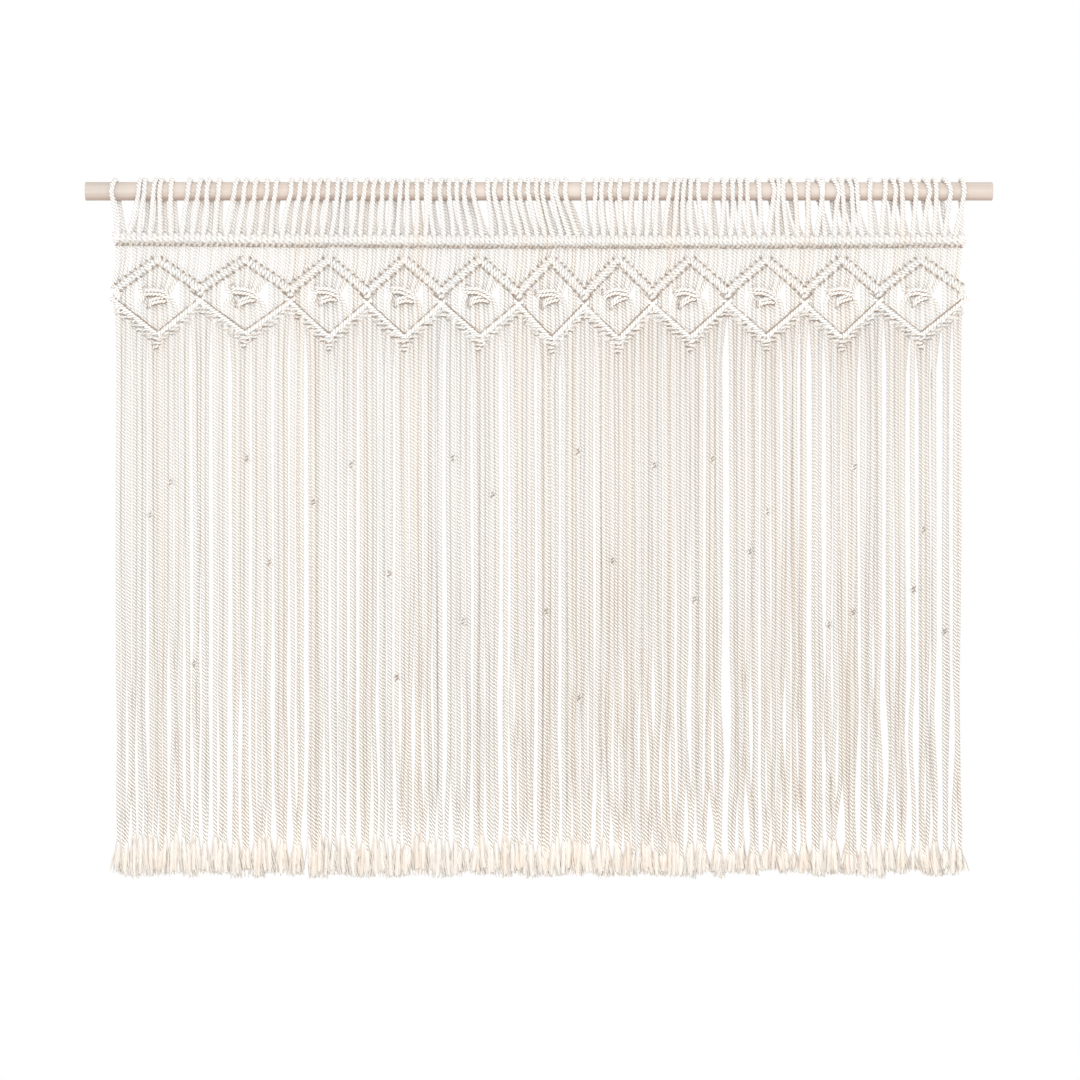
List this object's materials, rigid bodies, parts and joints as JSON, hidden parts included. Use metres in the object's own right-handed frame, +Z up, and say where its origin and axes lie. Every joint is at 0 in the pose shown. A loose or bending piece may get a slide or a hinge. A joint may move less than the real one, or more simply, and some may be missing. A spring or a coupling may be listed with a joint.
{
  "type": "macrame wall hanging on a wooden rod",
  "caption": "Knotted cotton cord hanging with a row of diamonds and a long straight fringe, folded over a plain round wooden rod that a wall holds up.",
  "frame": {"origin": "the middle of the rod's axis, where the wall's holders carry the rod between them", "axes": "+X along the rod to the right as seen from the front, -Y out of the wall towards the viewer, +Z up"},
  "size_m": [0.906, 0.0288, 0.6969],
  "materials": {
    "rod_wood": "bare sanded pale birch, faint grain along the rod",
    "cotton_cord": "natural undyed twisted cotton rope, matte, with soft unravelled ends"
  },
  "bodies": {
    "root": {"rod": "rod_wood", "knotted_band": "cotton_cord", "fringe": "cotton_cord"}
  },
  "joints": []
}
